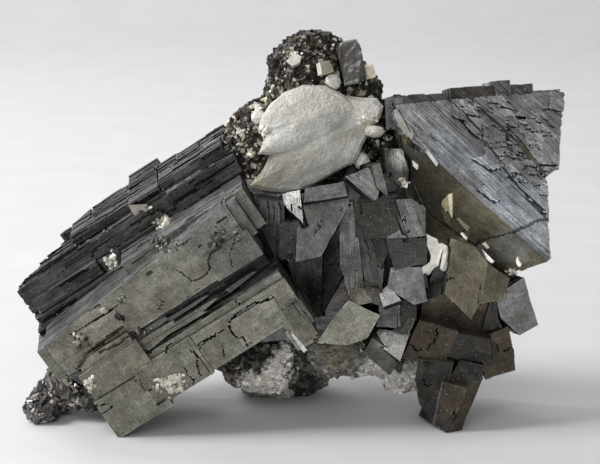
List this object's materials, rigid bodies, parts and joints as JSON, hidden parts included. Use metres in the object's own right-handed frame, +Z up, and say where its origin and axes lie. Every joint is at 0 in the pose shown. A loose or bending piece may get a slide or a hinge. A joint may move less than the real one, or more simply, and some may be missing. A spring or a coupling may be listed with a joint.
{
  "type": "mineral specimen",
  "caption": "Free-standing cluster of stepped metallic arsenopyrite crystals with a leaf of calcite and granular sulphide, grown on pale quartz rock.",
  "frame": {"origin": "on the surface the specimen stands on, below the middle of its bounding box", "axes": "+X along the specimen's length, towards the large striated crystal; +Y from the front with the calcite to the back, through the thickness; +Z up"},
  "size_m": [0.1108, 0.0492, 0.0787],
  "materials": {
    "arsenopyrite": "natural metallic crystal faces, striated, with a grey-brown tarnish",
    "granular_sulphide": "natural, granular and glittering",
    "sphalerite": "natural, dark and resinous",
    "calcite": "natural, greyish white and sugary",
    "quartz_matrix": "natural, pale and rough"
  },
  "bodies": {
    "root": {"left_crystals": "arsenopyrite", "right_crystals": "arsenopyrite", "centre_crystals": "arsenopyrite", "sulphide_lump": "granular_sulphide", "large_calcite": "calcite", "round_calcite": "calcite", "oval_calcite": "calcite", "shadowed_calcite": "calcite", "pale_calcite": "calcite", "dark_sphalerite": "sphalerite", "left_sphalerite": "sphalerite", "under_sphalerite": "sphalerite", "quartz_matrix": "quartz_matrix"}
  },
  "joints": []
}
